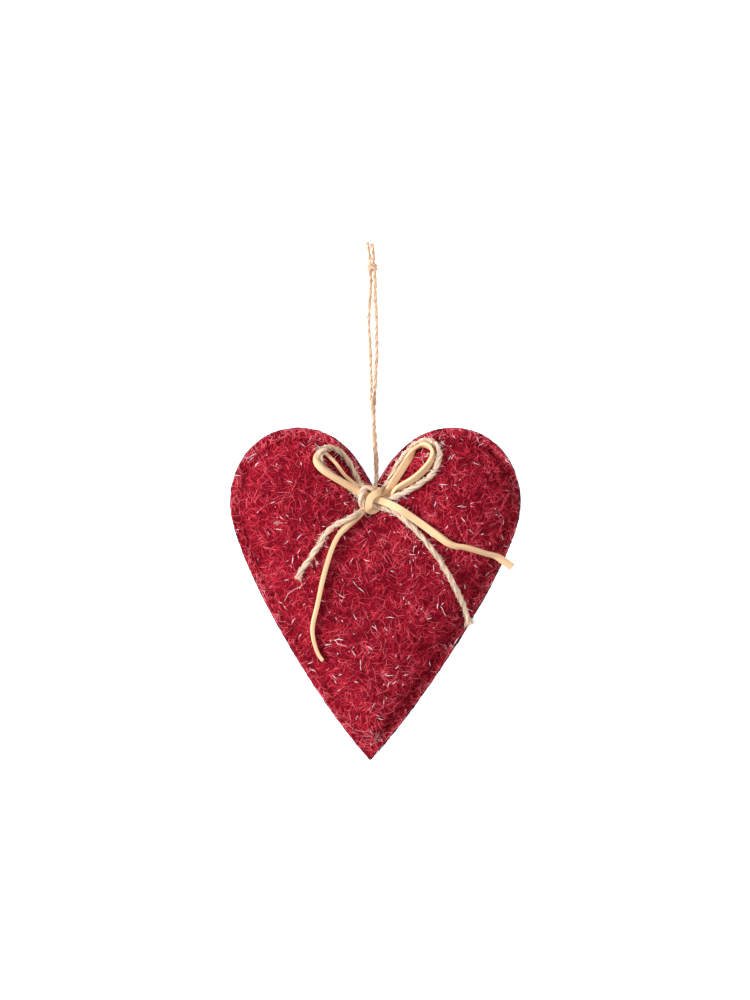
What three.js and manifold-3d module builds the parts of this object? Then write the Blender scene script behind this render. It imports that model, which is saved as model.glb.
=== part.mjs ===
// A padded felt heart on a loop of jute twine, with a bow of twine and flat lace tied at its notch.
// It lies on its back. Millimetres, +Z up out of its front, +Y towards the lobes.
// The origin is under the middle of the heart, on the surface it lies on.
import * as THREE from 'three';
import { mergeVertices } from 'three/addons/utils/BufferGeometryUtils.js';
import Module from 'manifold-3d';

const wasm = await Module();
wasm.setup();

// The heart's outline
const heartWidth = 120;
const heartHeight = 137.4;
const notch = new THREE.Vector2(-0.6, 43.6);
const tip = new THREE.Vector2(-2.1, -heartHeight / 2);
const lobeTopX = 32;
const widestY = 37.6;
const notchHandle = new THREE.Vector2(2.9, 3);
const lobeInnerHandle = 21.7;
const lobeOuterHandle = 16.1;
const shoulderHandle = 18.2;
const flankHandle = 21.8;
const tipHandle = new THREE.Vector2(22.1, 23.8);

// The padding
const feltThickness = 1.8;
const seamHeight = 8;
const seamGap = 0.3;
const flangeWidth = 4;
const seamGroove = 0.5;
const seamGrooveWidth = 0.9;
const frontRise = 11;
const frontReach = 23;
const backReach = 12;
const bulgePower = 0.7;
const knotDimple = 0.5;
const knotDimpleRadius = 8;
const knotMiddle = new THREE.Vector2(-1.9, 38.2);
const outlineSamples = 80;

// The mesh of a panel
const lobeSegments = 12;
const flankSegments = 20;
const rayBend = 12;
const rayCentre = new THREE.Vector2(-0.5, 8);
const normalSpread = 4;
const farthestPart = 0.6;
const halvings = 20;
const frontRings = [0.06, 0.15, 0.27, 0.42, 0.6, 0.8];
const backRings = [0.08, 0.2, 0.36, 0.6];

// The cords
const hangingDiameter = 1.5;
const bowTwineDiameter = 2.3;
const laceWidth = 3;
const laceThickness = 1.4;
const laceCorner = 0.4;
const cordSides = 8;
const cordSteps = 40;
const wrapSteps = 10;
const hangingKnot = new THREE.Vector3(-1.4, 136, 2.45);
const knotTurnRadius = 1.35;
const knotTurnThickness = 1.9;
const knotTurnSegments = 12;
const knotLean = 0.4;
const bightPoints = 6;
const bightSteps = 14;
const clearance = 0.4;
const bightClearance = 0.45;
const steepestCord = 0.85;
const steepestFelt = 1;
const slopeStep = 1;

const up = new THREE.Vector3(0, 0, 1);

// One half of the outline, from the notch over the lobe and down the flank to the tip
function halfOutline(side) {
	const top = new THREE.Vector2(side * lobeTopX, heartHeight / 2);
	const widest = new THREE.Vector2(side * heartWidth / 2, widestY);
	return [
		new THREE.CubicBezierCurve(
			notch,
			new THREE.Vector2(notch.x + side * notchHandle.x, notch.y + notchHandle.y),
			new THREE.Vector2(top.x - side * lobeInnerHandle, top.y),
			top
		),
		new THREE.CubicBezierCurve(
			top,
			new THREE.Vector2(top.x + side * lobeOuterHandle, top.y),
			new THREE.Vector2(widest.x, widest.y + shoulderHandle),
			widest
		),
		new THREE.CubicBezierCurve(
			widest,
			new THREE.Vector2(widest.x, widest.y - flankHandle),
			new THREE.Vector2(tip.x + side * tipHandle.x, tip.y + tipHandle.y),
			tip
		),
	];
}

// Short pieces of the outline, each with its middle and its length
const outlinePieces = [-1, 1].flatMap(halfOutline).flatMap((curve) => {
	const points = curve.getSpacedPoints(outlineSamples);
	return points.slice(1).map((point, index) => ({
		middle: point.clone().lerp(points[index], 0.5),
		length: point.distanceTo(points[index]),
	}));
});

// Distance to the outline without a crease: close to a straight edge it is the true distance
function distanceInside(point) {
	let sum = 0;
	for (const { middle, length } of outlinePieces) {
		sum += length / middle.distanceToSquared(point) ** 2;
	}
	return (2 / Math.PI * sum) ** (-1 / 3);
}

// How full the padding stands, from 0 at the seam to 1 at its reach
function bulge(distance, reach) {
	const part = THREE.MathUtils.clamp((distance - flangeWidth) / reach, 0, 1);
	return (1 - (1 - part) ** 2) ** bulgePower;
}

// The stitches draw the felt in along the seam
function groove(distance) {
	return seamGroove * Math.exp(-(((distance - flangeWidth) / seamGrooveWidth) ** 2));
}

// The bow's knot presses the front in below the notch
function frontHeight(point) {
	const distance = distanceInside(point);
	const flange = seamHeight + seamGap / 2 + feltThickness;
	const pressed = knotDimple * Math.exp(-point.distanceToSquared(knotMiddle) / knotDimpleRadius ** 2);
	return flange - groove(distance) + frontRise * bulge(distance, frontReach) * (1 - pressed);
}

function backHeight(point) {
	const distance = distanceInside(point);
	const flange = seamHeight - seamGap / 2 - feltThickness;
	return (flange + groove(distance)) * (1 - bulge(distance, backReach));
}

// The outline as one closed loop of points, counterclockwise from the notch
function outlineLoop() {
	const left = halfOutline(-1);
	const right = halfOutline(1).reverse();
	const counts = [lobeSegments, lobeSegments, flankSegments];
	const down = left.flatMap((curve, index) => curve.getPoints(counts[index]).slice(0, -1));
	const back = right.flatMap((curve, index) => curve.getPoints(counts[2 - index]).reverse().slice(0, -1));
	return [...down, ...back];
}

// Curved rays that leave the outline square to it and meet at the middle of the heart
function raysInward() {
	const loop = outlineLoop();
	const count = loop.length;
	const at = (index) => loop[(index + count) % count];
	const normals = loop.map((point, index) => {
		const along = at(index + 1).clone().sub(at(index - 1)).normalize();
		return new THREE.Vector2(-along.y, along.x);
	});
	return loop.map((point, index) => {
		const inward = new THREE.Vector2();
		for (let offset = -normalSpread; offset <= normalSpread; offset++) {
			inward.add(normals[(index + offset + count) % count]);
		}
		const bend = point.clone().addScaledVector(inward.normalize(), rayBend);
		return new THREE.QuadraticBezierCurve(point, bend, rayCentre);
	});
}

// The part of a ray at which it has come a given distance inside the outline
function partAtDistance(ray, distance) {
	let low = 0;
	let high = farthestPart;
	for (let step = 0; step < halvings; step++) {
		const middle = (low + high) / 2;
		if (distanceInside(ray.getPoint(middle)) < distance) low = middle;
		else high = middle;
	}
	return low;
}

const rays = raysInward();
const seamParts = [-seamGrooveWidth, 0, seamGrooveWidth].map((offset) => {
	return rays.map((ray) => partAtDistance(ray, flangeWidth + offset));
});

// One padded panel: a flat side at the seam, the felt's cut edge, the flange and the dome
function panelGeometry(height, rings, flatHeight, facing) {
	const count = rays.length;
	const positions = [];
	const indices = [];
	const addRing = (parts, heightAt) => {
		rays.forEach((ray, index) => {
			const point = ray.getPoint(parts[index]);
			positions.push(point.x, point.y, heightAt(point));
		});
	};
	const innermost = seamParts[2];
	const outline = rays.map(() => 0);
	addRing(outline, () => flatHeight);
	addRing(outline, height);
	seamParts.forEach((parts) => addRing(parts, height));
	rings.forEach((ring) => addRing(innermost.map((part) => THREE.MathUtils.lerp(part, 1, ring)), height));
	const ringCount = positions.length / 3 / count;
	const flatMiddle = positions.length / 3;
	positions.push(rayCentre.x, rayCentre.y, flatHeight);
	const crown = flatMiddle + 1;
	positions.push(rayCentre.x, rayCentre.y, height(rayCentre));

	const addTriangle = (a, b, c) => indices.push(...(facing > 0 ? [a, b, c] : [a, c, b]));
	for (let index = 0; index < count; index++) {
		const next = (index + 1) % count;
		addTriangle(flatMiddle, next, index);
		for (let ring = 0; ring < ringCount - 1; ring++) {
			const outer = ring * count;
			const inner = outer + count;
			addTriangle(outer + index, outer + next, inner + next);
			addTriangle(outer + index, inner + next, inner + index);
		}
		const last = (ringCount - 1) * count;
		addTriangle(last + index, last + next, crown);
	}
	const geometry = new THREE.BufferGeometry();
	geometry.setAttribute('position', new THREE.Float32BufferAttribute(positions, 3));
	geometry.setIndex(indices);
	return geometry;
}

function solid(geometry) {
	const bare = geometry.clone();
	bare.deleteAttribute('normal');
	bare.deleteAttribute('uv');
	const merged = mergeVertices(bare);
	return new wasm.Manifold(new wasm.Mesh({
		numProp: 3,
		vertProperties: Float32Array.from(merged.attributes.position.array),
		triVerts: Uint32Array.from(merged.index.array),
	}));
}

function geometryOf(body) {
	const { vertProperties, triVerts } = body.getMesh();
	const geometry = new THREE.BufferGeometry();
	geometry.setAttribute('position', new THREE.BufferAttribute(vertProperties, 3));
	geometry.setIndex(new THREE.BufferAttribute(triVerts, 1));
	return geometry;
}

function node(name, body, material) {
	const mesh = new THREE.Mesh(geometryOf(body), material);
	mesh.name = name;
	return mesh;
}

// The direction that the felt faces, held where it is steeper than a cord follows
function feltFacing(x, y) {
	const height = (dx, dy) => frontHeight(new THREE.Vector2(x + dx, y + dy));
	const slopeX = (height(slopeStep, 0) - height(-slopeStep, 0)) / (2 * slopeStep);
	const slopeY = (height(0, slopeStep) - height(0, -slopeStep)) / (2 * slopeStep);
	const slope = new THREE.Vector2(slopeX, slopeY).clampLength(0, steepestFelt);
	return new THREE.Vector3(-slope.x, -slope.y, 1).normalize();
}

// A cord's route: each point has a place, a facing, and a flat cord's turn away from it in degrees
function at(x, y, z, turn = 0) {
	return { place: new THREE.Vector3(x, y, z), facing: up, turn: THREE.MathUtils.degToRad(turn) };
}

// A point lying on the felt, its middle at a lift above it
function laid(x, y, lift, turn = 0) {
	const facing = feltFacing(x, y);
	const height = frontHeight(new THREE.Vector2(x, y)) + lift / facing.z;
	return { ...at(x, y, height, turn), facing };
}

// A smooth path through a route, whose sections keep one side level but for the cord's turn
class CordPath extends THREE.CatmullRomCurve3 {
	constructor(route) {
		super(route.map((point) => point.place), false, 'centripetal');
		this.widths = this.widthsAlong(route);
	}

	// The direction of the cord's width at each point of the route, held on where the cord runs steeply
	widthsAlong(route) {
		let last = new THREE.Vector3(1, 0, 0);
		return route.map((point, index) => {
			const along = this.getTangent(index / (route.length - 1));
			if (Math.abs(along.z) < steepestCord) {
				const level = point.facing.clone().cross(along).normalize();
				const width = level.applyAxisAngle(along, point.turn);
				last = width.dot(last) < 0 ? width.negate() : width;
			}
			return last;
		});
	}

	getSpacedPoints(steps) {
		return this.getPoints(steps);
	}

	computeFrenetFrames(steps) {
		const frames = { tangents: [], normals: [], binormals: [] };
		for (let step = 0; step <= steps; step++) {
			const part = step / steps;
			const along = this.getTangent(part);
			const place = part * (this.widths.length - 1);
			const before = Math.min(Math.floor(place), this.widths.length - 2);
			const width = this.widths[before].clone().lerp(this.widths[before + 1], place - before);
			width.addScaledVector(along, -width.dot(along)).normalize();
			frames.tangents.push(along);
			frames.normals.push(width);
			frames.binormals.push(along.clone().cross(width));
		}
		return frames;
	}
}

function roundSection(diameter) {
	const corners = [];
	for (let corner = 0; corner < cordSides; corner++) {
		const angle = (corner + 0.5) / cordSides * Math.PI * 2;
		corners.push(new THREE.Vector2(Math.cos(angle), Math.sin(angle)).multiplyScalar(diameter / 2));
	}
	return new THREE.Shape(corners);
}

function flatSection(width, thickness) {
	const corners = [];
	for (const [x, y] of [[1, -1], [1, 1], [-1, 1], [-1, -1]]) {
		const onEnd = new THREE.Vector2(x * width / 2, y * (thickness / 2 - laceCorner));
		const onFace = new THREE.Vector2(x * (width / 2 - laceCorner), y * thickness / 2);
		corners.push(...(x * y < 0 ? [onFace, onEnd] : [onEnd, onFace]));
	}
	return new THREE.Shape(corners);
}

function cord(route, section, steps = cordSteps) {
	const extrudePath = new CordPath(route);
	return solid(new THREE.ExtrudeGeometry(section, { steps, extrudePath }));
}

// The hanging loop's front strand, from inside the felt at the notch to its cut end
const hangingFront = [
	at(-0.1, 40.3, 8), at(-0.1, 41.1, 9.91), at(0, 43, 10.7), at(0.1, 44.6, 10.6),
	at(0.2, 46.9, 9), at(0.3, 49, 6.6), at(0.3, 51.3, 4.2), at(0.1, 54, 2.8), at(-0.1, 57.7, 2.45),
	at(-0.5, 61.9, 2.45), at(-0.7, 66, 2.45), at(-0.8, 70.2, 2.45), at(-1, 74.3, 2.45), at(-1.4, 78.5, 2.35),
	at(-1.8, 82.6, 1.9), at(-1.8, 86.8, 1.1), at(-1.9, 90.9, 0.8), at(-2, 95.5, 0.8), at(-2.2, 100.9, 0.8),
	at(-2.5, 106.7, 0.8), at(-2.8, 112.9, 0.8), at(-2.7, 116.7, 0.8), at(-2.4, 120.8, 0.8),
	at(-2.2, 125.4, 0.8), at(-2, 130, 0.9), at(-2.1, 133.1, 1.6), at(-2.2, 136, 2.4),
	at(-2.3, 139.5, 2.1), at(-2.7, 142.8, 1.6), at(-3.4, 146.4, 1.2),
];

// Its back strand, which leaves the felt behind and lies under the front one
const hangingBack = [
	at(-0.1, 40.3, 8), at(-0.1, 41.1, 6.09), at(0, 43, 5.3), at(0.1, 44.8, 4.8),
	at(0.3, 47.3, 3.1), at(0.5, 49.8, 1.5), at(0.6, 52.7, 0.85), at(0.5, 56.5, 0.8), at(0.2, 60.6, 0.8),
	at(-0.1, 64.8, 0.8), at(-0.5, 68.9, 0.8), at(-0.7, 73.1, 0.8), at(-0.6, 77.2, 0.8), at(-0.3, 82.6, 0.8),
	at(0, 86.8, 0.8), at(0.1, 90.9, 0.8), at(0.3, 95.5, 0.8), at(0.6, 100.5, 0.8), at(0.5, 106.3, 0.8),
	at(0.5, 111.7, 0.8), at(0.4, 116.7, 0.8), at(0.1, 120.8, 0.8), at(-0.1, 125.4, 0.8), at(-0.1, 130, 0.9),
	at(-0.4, 133.1, 1.6), at(-0.6, 136, 2.4), at(-0.7, 139.5, 2.2), at(-1, 142.8, 1.8), at(-1.4, 145.9, 1.3),
];

// The bow's twine: from the knot round the right loop, back through the knot and down the left tail
const twineRight = [
	at(-2.3, 42.6, 13.1), at(0.6, 42.4, 13.1), at(2.9, 43.4, 13.4), laid(5.6, 47, 2.6), laid(7.7, 50.8, 1.8),
	laid(9.6, 54.4, 1.7), laid(12.1, 57.7, 1.6), laid(14.4, 60.4, 1.6), laid(17, 62.5, 1.6),
	laid(19.8, 63.7, 1.6), laid(22.4, 63.5, 1.6), laid(24.8, 61.9, 1.6), laid(26.2, 59.4, 1.6),
	laid(26.5, 56.8, 1.6), laid(25.6, 53.9, 1.5), laid(23.3, 49.7, 1.5), laid(19.2, 46.2, 1.5),
	laid(14.6, 43.5, 1.6), laid(9.8, 41.2, 1.8), at(5.6, 39.6, 16.8), at(1.9, 38.2, 16.5),
	at(-1.9, 36.7, 15.6), laid(-5.2, 34.7, 1.8), laid(-8.4, 32.7, 3.1), laid(-11.5, 31, 3),
	laid(-14.7, 29.6, 1.8), laid(-18.4, 27.2, 1.5), laid(-21.1, 24.3, 1.5), laid(-22.7, 21.1, 1.5),
	laid(-24.8, 18.4, 1.5), laid(-26.9, 15, 1.5), laid(-29.6, 11.5, 1.5), laid(-32, 6.7, 1.5),
];

// From the knot round the left loop, back through the knot and down the right tail
const twineLeft = [
	at(-0.6, 42.4, 13.1), at(-3.1, 43, 13.2), at(-5.6, 44.8, 13.6), laid(-7.9, 48.8, 2.2),
	laid(-10.3, 53.6, 1.7), laid(-12.9, 57.4, 1.6), laid(-15.9, 59.8, 1.7), laid(-19, 60.8, 2.6),
	laid(-21.2, 60, 4.3), laid(-22.8, 58.3, 4.4), laid(-22.9, 55.8, 2.8), laid(-21.7, 52.9, 1.5),
	laid(-18.5, 49.8, 1.5), laid(-14.3, 46.9, 1.5), laid(-10.6, 44.2, 1.5), at(-7.5, 41.3, 15.7),
	at(-5, 38.9, 16.4), at(-2.1, 37.4, 17.7), at(1.5, 35.9, 17), laid(5.1, 35.3, 1.7), laid(8.8, 33.6, 1.6),
	laid(13.5, 29.4, 1.5), laid(18.4, 24.6, 1.5), laid(22.3, 19.9, 1.5), laid(26.2, 14.5, 1.5),
	laid(29.8, 8.7, 1.5), laid(32.7, 3.1, 1.5), laid(35.5, -2.6, 1.8), laid(37.6, -8.3, 2.5),
	at(38.9, -12.5, 13),
];

// The twine's turn over the knot, left of the lace's
const twineWrap = [
	at(-0.4, 43.3, 17.2), at(-2, 44, 17.8), at(-3.6, 44, 18.4), at(-4.9, 43.2, 19.3), at(-5.7, 41.6, 20),
	at(-6, 39.8, 20), at(-5.8, 38, 19.3), at(-5.2, 36.4, 17.8), at(-4.2, 35.7, 16.4),
];

// The bow's lace: from the knot round the left loop, back under the wrap and out to the right tail
const laceLeft = [
	at(-1.7, 43.5, 15.2, 0), at(-4.6, 43.5, 15.4, 155), at(-7.6, 44.4, 15.3, 120), laid(-10.6, 46.9, 2.3, 72),
	laid(-13.1, 49.7, 2.1, 50), laid(-16.6, 54.4, 2, 50), laid(-19.4, 57.1, 2, 56),
	laid(-21.8, 58.8, 2, 68), laid(-23.7, 58.6, 2.1, 78), laid(-24.7, 56.9, 2.4, 85),
	laid(-24.4, 54.6, 3.3, 80),
	laid(-22.6, 52.3, 4.1, 75), laid(-20.3, 50.3, 4.1, 79), laid(-16.8, 48.1, 4, 85), laid(-12.7, 45.8, 3.9, 78),
	at(-7.1, 42.6, 17.8, 45), at(-4.2, 41, 18.1, 15), at(-1.2, 39.6, 18), at(1.5, 38.9, 18.6),
	at(4.4, 37.9, 18.9), laid(7.5, 36.5, 3.5), laid(10.2, 35, 3.6), laid(15.2, 31.7, 1.8),
	laid(20.1, 28.3, 1.3, 5), laid(25.6, 24.4, 1.7, 30), laid(30, 21.2, 2, 54), laid(33, 20, 2, 58),
	laid(36.3, 19.6, 2, 63), laid(41.2, 18.3, 2, 64), laid(45.9, 16.8, 2.1, 64),
	at(49.8, 15.8, 14.9, 60), at(53.3, 13.6, 13.5, 35), at(56.5, 11.3, 12.4, 25),
];

// The wrap over the knot, then round the right loop, back under the wrap and down the left tail
const laceRight = [
	at(-2.7, 43.3, 15.2), at(0.6, 42.9, 15.7), at(1.8, 42.5, 17.8), at(0.8, 41.9, 19.5), at(-0.9, 41.1, 20.1),
	at(-2.2, 39.6, 20.3), at(-2.7, 37.5, 20.2), at(-2.7, 35.9, 19.5), at(-2.4, 34.8, 18.2), at(-1.2, 34.7, 16.7),
	at(0.9, 35.9, 15.8), at(2.7, 37.8, 15.1), at(4.4, 39.6, 14.9, 150), at(6.4, 41.7, 15.3, 120),
	laid(9.7, 44.1, 2.1, 85), laid(16.8, 48.5, 2, 66), laid(21.9, 53.7, 2, 72), laid(23.4, 56.4, 2, 80),
	laid(23.7, 58.6, 2, 85), laid(22.9, 60.4, 2.2, 85), laid(21.3, 61.5, 2.3, 85), laid(19, 61.6, 2.1, 100),
	laid(16.7, 60.7, 2, 112), laid(13.2, 55.4, 2.1, 116), laid(8.3, 47.7, 2.1, 114),
	laid(6.4, 44.6, 2.4, 110), at(4.6, 42.2, 14.6, 108), at(2.3, 40.3, 14.1, 120), at(-0.2, 38.8, 13.7, 150),
	at(-2.3, 37.6, 13.9, 180), at(-4.2, 35.7, 15.4, 180), laid(-6.2, 33.6, 1.6, 200),
	laid(-11.8, 28.2, 2, 235), laid(-15.1, 24.6, 2, 255), laid(-17.5, 20, 2, 255),
	laid(-21.1, 8.6, 2, 253), laid(-23.8, -3.7, 2, 248), laid(-26, -15, 2, 236),
	laid(-23.8, -24.2, 2, 230), laid(-21.8, -27.2, 2, 230),
];

// One turn of the knot that ties the hanging loop's ends together
function hangingKnotTurn(lean) {
	const turn = new THREE.TorusGeometry(knotTurnRadius, knotTurnThickness / 2, cordSides, knotTurnSegments);
	turn.rotateX(Math.PI / 2);
	turn.rotateZ(lean);
	turn.translate(hangingKnot.x, hangingKnot.y, hangingKnot.z);
	return solid(turn);
}

// One length of twine from cut end to cut end, knotted near them
function hangingTwine() {
	const route = [...hangingFront].reverse().concat(hangingBack.slice(1));
	const strand = cord(route, roundSection(hangingDiameter), 2 * cordSteps);
	return strand.add(hangingKnotTurn(knotLean)).add(hangingKnotTurn(-knotLean));
}

// The room in the felt for the bight of the hanging twine
function hangingHole() {
	const route = hangingFront.slice(0, bightPoints).reverse().concat(hangingBack.slice(1, bightPoints));
	return cord(route, roundSection(hangingDiameter + 2 * bightClearance), bightSteps);
}

function bowLace(room) {
	const section = flatSection(laceWidth + 2 * room, laceThickness + 2 * room);
	return cord(laceLeft, section).add(cord(laceRight, section));
}

// The lace presses into the twine where they cross
function bowTwine() {
	const section = roundSection(bowTwineDiameter);
	const strands = cord(twineRight, section).add(cord(twineLeft, section));
	return strands.add(cord(twineWrap, section, wrapSteps)).subtract(bowLace(clearance));
}

function heartFront() {
	const panel = solid(panelGeometry(frontHeight, frontRings, seamHeight + seamGap / 2, 1));
	return panel.subtract(hangingHole());
}

function heartBack() {
	const panel = solid(panelGeometry(backHeight, backRings, seamHeight - seamGap / 2, -1));
	return panel.subtract(hangingHole());
}

const felt = new THREE.MeshStandardMaterial({ color: 0xa3182e, roughness: 0.95, metalness: 0 });
const thinTwine = new THREE.MeshStandardMaterial({ color: 0xd3ad88, roughness: 0.9, metalness: 0 });
const thickTwine = new THREE.MeshStandardMaterial({ color: 0xddbfa2, roughness: 0.9, metalness: 0 });
const lace = new THREE.MeshStandardMaterial({ color: 0xe9c48c, roughness: 0.7, metalness: 0 });

const heart = new THREE.Group();
heart.add(node('heart_front', heartFront(), felt));
heart.add(node('heart_back', heartBack(), felt));
heart.add(node('hanging_twine', hangingTwine(), thinTwine));
heart.add(node('bow_twine', bowTwine(), thickTwine));
heart.add(node('bow_lace', bowLace(0), lace));

export default heart;
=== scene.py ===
import math
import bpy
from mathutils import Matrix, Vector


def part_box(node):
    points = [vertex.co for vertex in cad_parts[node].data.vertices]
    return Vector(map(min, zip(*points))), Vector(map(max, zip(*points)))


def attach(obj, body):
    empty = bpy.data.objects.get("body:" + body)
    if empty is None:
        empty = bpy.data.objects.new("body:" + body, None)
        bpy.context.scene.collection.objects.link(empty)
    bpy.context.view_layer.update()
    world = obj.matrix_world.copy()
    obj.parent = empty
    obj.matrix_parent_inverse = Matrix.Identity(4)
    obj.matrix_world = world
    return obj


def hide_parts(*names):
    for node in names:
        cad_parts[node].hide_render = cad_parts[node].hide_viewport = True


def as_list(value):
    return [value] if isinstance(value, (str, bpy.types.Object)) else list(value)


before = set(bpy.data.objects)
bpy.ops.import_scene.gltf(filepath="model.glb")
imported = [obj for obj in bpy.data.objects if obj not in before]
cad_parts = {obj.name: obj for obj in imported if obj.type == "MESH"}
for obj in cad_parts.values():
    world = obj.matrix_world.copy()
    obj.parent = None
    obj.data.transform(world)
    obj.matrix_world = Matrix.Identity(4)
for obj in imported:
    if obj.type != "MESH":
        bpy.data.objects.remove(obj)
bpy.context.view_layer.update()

from types import SimpleNamespace

import bmesh
import bpy
import numpy as np
from mathutils import Vector
from mathutils.bvhtree import BVHTree

# A padded felt heart lying on its back, with a hanging loop of twine and a bow of twine and lace.
# Lengths are in millimetres until a mesh is made, and +Z points up out of the heart's front.
mm = 0.001
pixel = 0.41522  # what a pixel of the photograph spans
frontLow, frontHigh = (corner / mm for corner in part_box("heart_front"))
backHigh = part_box("heart_back")[1] / mm
print("frame loaded")

# Camera and stage

studio = {
    "cameraHeight": 1500,
    "middle": (-0.21, 39.03),  # of the view
    "viewHeight": 1000 * pixel,
    "floorSize": 6000,
    "world": 0.38,
    "floorGlow": 0.9,
    "key": {"place": (-1250, 150, 850), "size": 320, "power": 30},
    "fill": {"place": (750, 200, 1500), "size": 1200, "power": 11},
}


def linked(name, data):  # an object at the origin
    made = bpy.data.objects.new(name, data)
    bpy.context.scene.collection.objects.link(made)
    return made


def placeCamera():
    data = bpy.data.cameras.new("camera")
    camera = linked("camera", data)
    flange = (frontLow.z + backHigh.z) / 2
    data.sensor_width = 36
    data.lens = data.sensor_width * studio["cameraHeight"] / studio["viewHeight"]
    data.clip_end = 20
    camera.location = Vector((*studio["middle"], flange + studio["cameraHeight"])) * mm
    bpy.context.scene.camera = camera


def placeLight(name, size, power, place):
    data = bpy.data.lights.new(name, "AREA")
    data.size = size * mm
    data.energy = power
    light = linked(name, data)
    light.location = Vector(place) * mm
    light.rotation_euler = light.location.to_track_quat("Z", "Y").to_euler()


def placeFloor():
    bm = bmesh.new()
    bmesh.ops.create_grid(bm, x_segments=4, y_segments=4, size=studio["floorSize"] / 2 * mm)
    floor = finished("floor", bm)
    finish = Finish("floor")
    finish.set({"Base Color": (0.9, 0.9, 0.9, 1), "Roughness": 0.9, "Emission Color": (1, 1, 1, 1),
                "Emission Strength": studio["floorGlow"]})
    floor.data.materials.append(finish.material)


def lightWorld():
    world = bpy.data.worlds.new("studio")
    world.use_nodes = True
    background = world.node_tree.nodes["Background"]
    background.inputs["Color"].default_value = (1, 1, 1, 1)
    background.inputs["Strength"].default_value = studio["world"]
    bpy.context.scene.world = world
    bpy.context.scene.view_settings.view_transform = "Standard"


# Materials

class Socket:  # a node's output, with arithmetic on it
    def __init__(self, finish, output):
        self.finish = finish
        self.output = output

    def math(self, operation, *values):
        return self.finish.add("Math", {"operation": operation}, dict(enumerate(values)))

    def __add__(self, other):
        return self.math("ADD", self, other)

    def __mul__(self, other):
        return self.math("MULTIPLY", self, other)

    __radd__ = __add__
    __rmul__ = __mul__


class Finish:  # a material on one Principled shader
    def __init__(self, name):
        self.material = bpy.data.materials.new(name)
        self.material.use_nodes = True
        self.tree = self.material.node_tree
        self.shader = self.tree.nodes["Principled BSDF"]

    def join(self, value, socket):
        if isinstance(value, Socket):
            self.tree.links.new(value.output, socket)
        else:
            socket.default_value = value

    def add(self, kind, settings, values, output=0):
        node = self.tree.nodes.new("ShaderNode" + kind)
        for name, value in settings.items():
            setattr(node, name, value)
        for name, value in values.items():
            self.join(value, node.inputs[name])
        return Socket(self, node.outputs[output])

    def set(self, values):
        for name, value in values.items():
            self.join(value, self.shader.inputs[name])

    def uvMap(self, layer):
        return self.add("UVMap", {"uv_map": layer}, {})

    def stretched(self, where, scale):
        return self.add("Mapping", {}, {"Vector": where, "Scale": scale})

    def noise(self, where, scale, detail=2, rough=0.5):
        values = {"Vector": where, "Scale": scale, "Detail": detail, "Roughness": rough}
        return self.add("TexNoise", {}, values)

    def ramp(self, factor, *stops):
        colour = self.add("ValToRGB", {}, {"Fac": factor})
        elements = colour.output.node.color_ramp.elements
        for index, (place, shade) in enumerate(stops):
            stop = elements[index] if index < 2 else elements.new(place)
            stop.position = place
            stop.color = (*shade, 1)
        return colour

    def bump(self, height, distance):
        return self.add("Bump", {}, {"Height": height, "Distance": distance * mm, "Strength": 1})


def feltFinish():
    finish = Finish("felt")
    where = finish.add("TexCoord", {}, {}, "Object")
    fine = finish.noise(where, 1500, 3, 0.6)
    patches = finish.noise(where, 160, 3, 0.55)
    dark, light = (0.3, (0.075, 0.001, 0.006)), (0.72, (0.31, 0.008, 0.022))
    finish.set({"Base Color": finish.ramp(fine * 0.6 + patches * 0.4, dark, light), "Roughness": 0.95,
                "Specular IOR Level": 0.08, "Normal": finish.bump(fine, 0.35)})
    return finish.material


def fibreFinish(name, stops, roughness, gloss, paintedGlint=0):  # coloured by the shade in the fibre's map
    finish = Finish(name)
    shade = finish.add("SeparateXYZ", {}, {"Vector": finish.uvMap("OFBake")}, "X")
    colour = finish.ramp(shade, *stops)
    finish.set({"Base Color": colour, "Roughness": roughness, "Specular IOR Level": gloss})
    # with a painted glint the fibres glow in their own colour, as painted highlights
    if paintedGlint:
        finish.set({"Emission Color": colour, "Emission Strength": paintedGlint})
    return finish.material


def cordFinish(name, look, dark, light):
    finish = Finish(name)
    where = finish.uvMap("UVMap")
    grain = finish.noise(finish.stretched(where, look["grain"]), 1, 3, 0.6)
    patches = finish.noise(finish.stretched(where, look["patches"]), 1)
    colour = finish.ramp(grain * look["share"] + patches * (1 - look["share"]), dark, light)
    finish.set({"Base Color": colour, "Roughness": look["roughness"], "Specular IOR Level": look["gloss"],
                "Normal": finish.bump(grain, look["relief"])})
    return finish.material


def meshPiece(name, mesh, material):
    mesh.shade_smooth()
    mesh.materials.clear()
    if material:
        mesh.materials.append(material)
    return linked(name, mesh)


def finished(name, bm, material=None):
    mesh = bpy.data.meshes.new(name)
    bm.to_mesh(mesh)
    bm.free()
    return meshPiece(name, mesh, material)


# The heart's shape, as its solids have it

heart = {
    "width": frontHigh.x - frontLow.x,
    "height": frontHigh.y - frontLow.y,
    "notch": (-0.6, 43.6),
    "tipX": -2.1,
    "lobeTopX": 32,
    "widestY": 37.6,
    "notchHandle": (2.9, 3),
    "lobeInnerHandle": 21.7,
    "lobeOuterHandle": 16.1,
    "shoulderHandle": 18.2,
    "flankHandle": 21.8,
    "tipHandle": (22.1, 23.8),
    "feltThickness": 1.8,
    "flangeWidth": 4,
    "seamGroove": 0.5,
    "seamGrooveWidth": 0.9,
    "frontRise": 11,
    "frontReach": 23,
    "backReach": 12,
    "bulgePower": 0.7,
    "knotDimple": 0.5,
    "knotDimpleRadius": 8,
    "knotMiddle": (-1.9, 38.2),
}


def bezier(corners, parts):
    a, b, c, d = (np.array(corner, float) for corner in corners)
    t = np.asarray(parts)[:, None]
    return (1 - t) ** 3 * a + 3 * (1 - t) ** 2 * t * b + 3 * (1 - t) * t ** 2 * c + t ** 3 * d


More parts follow.
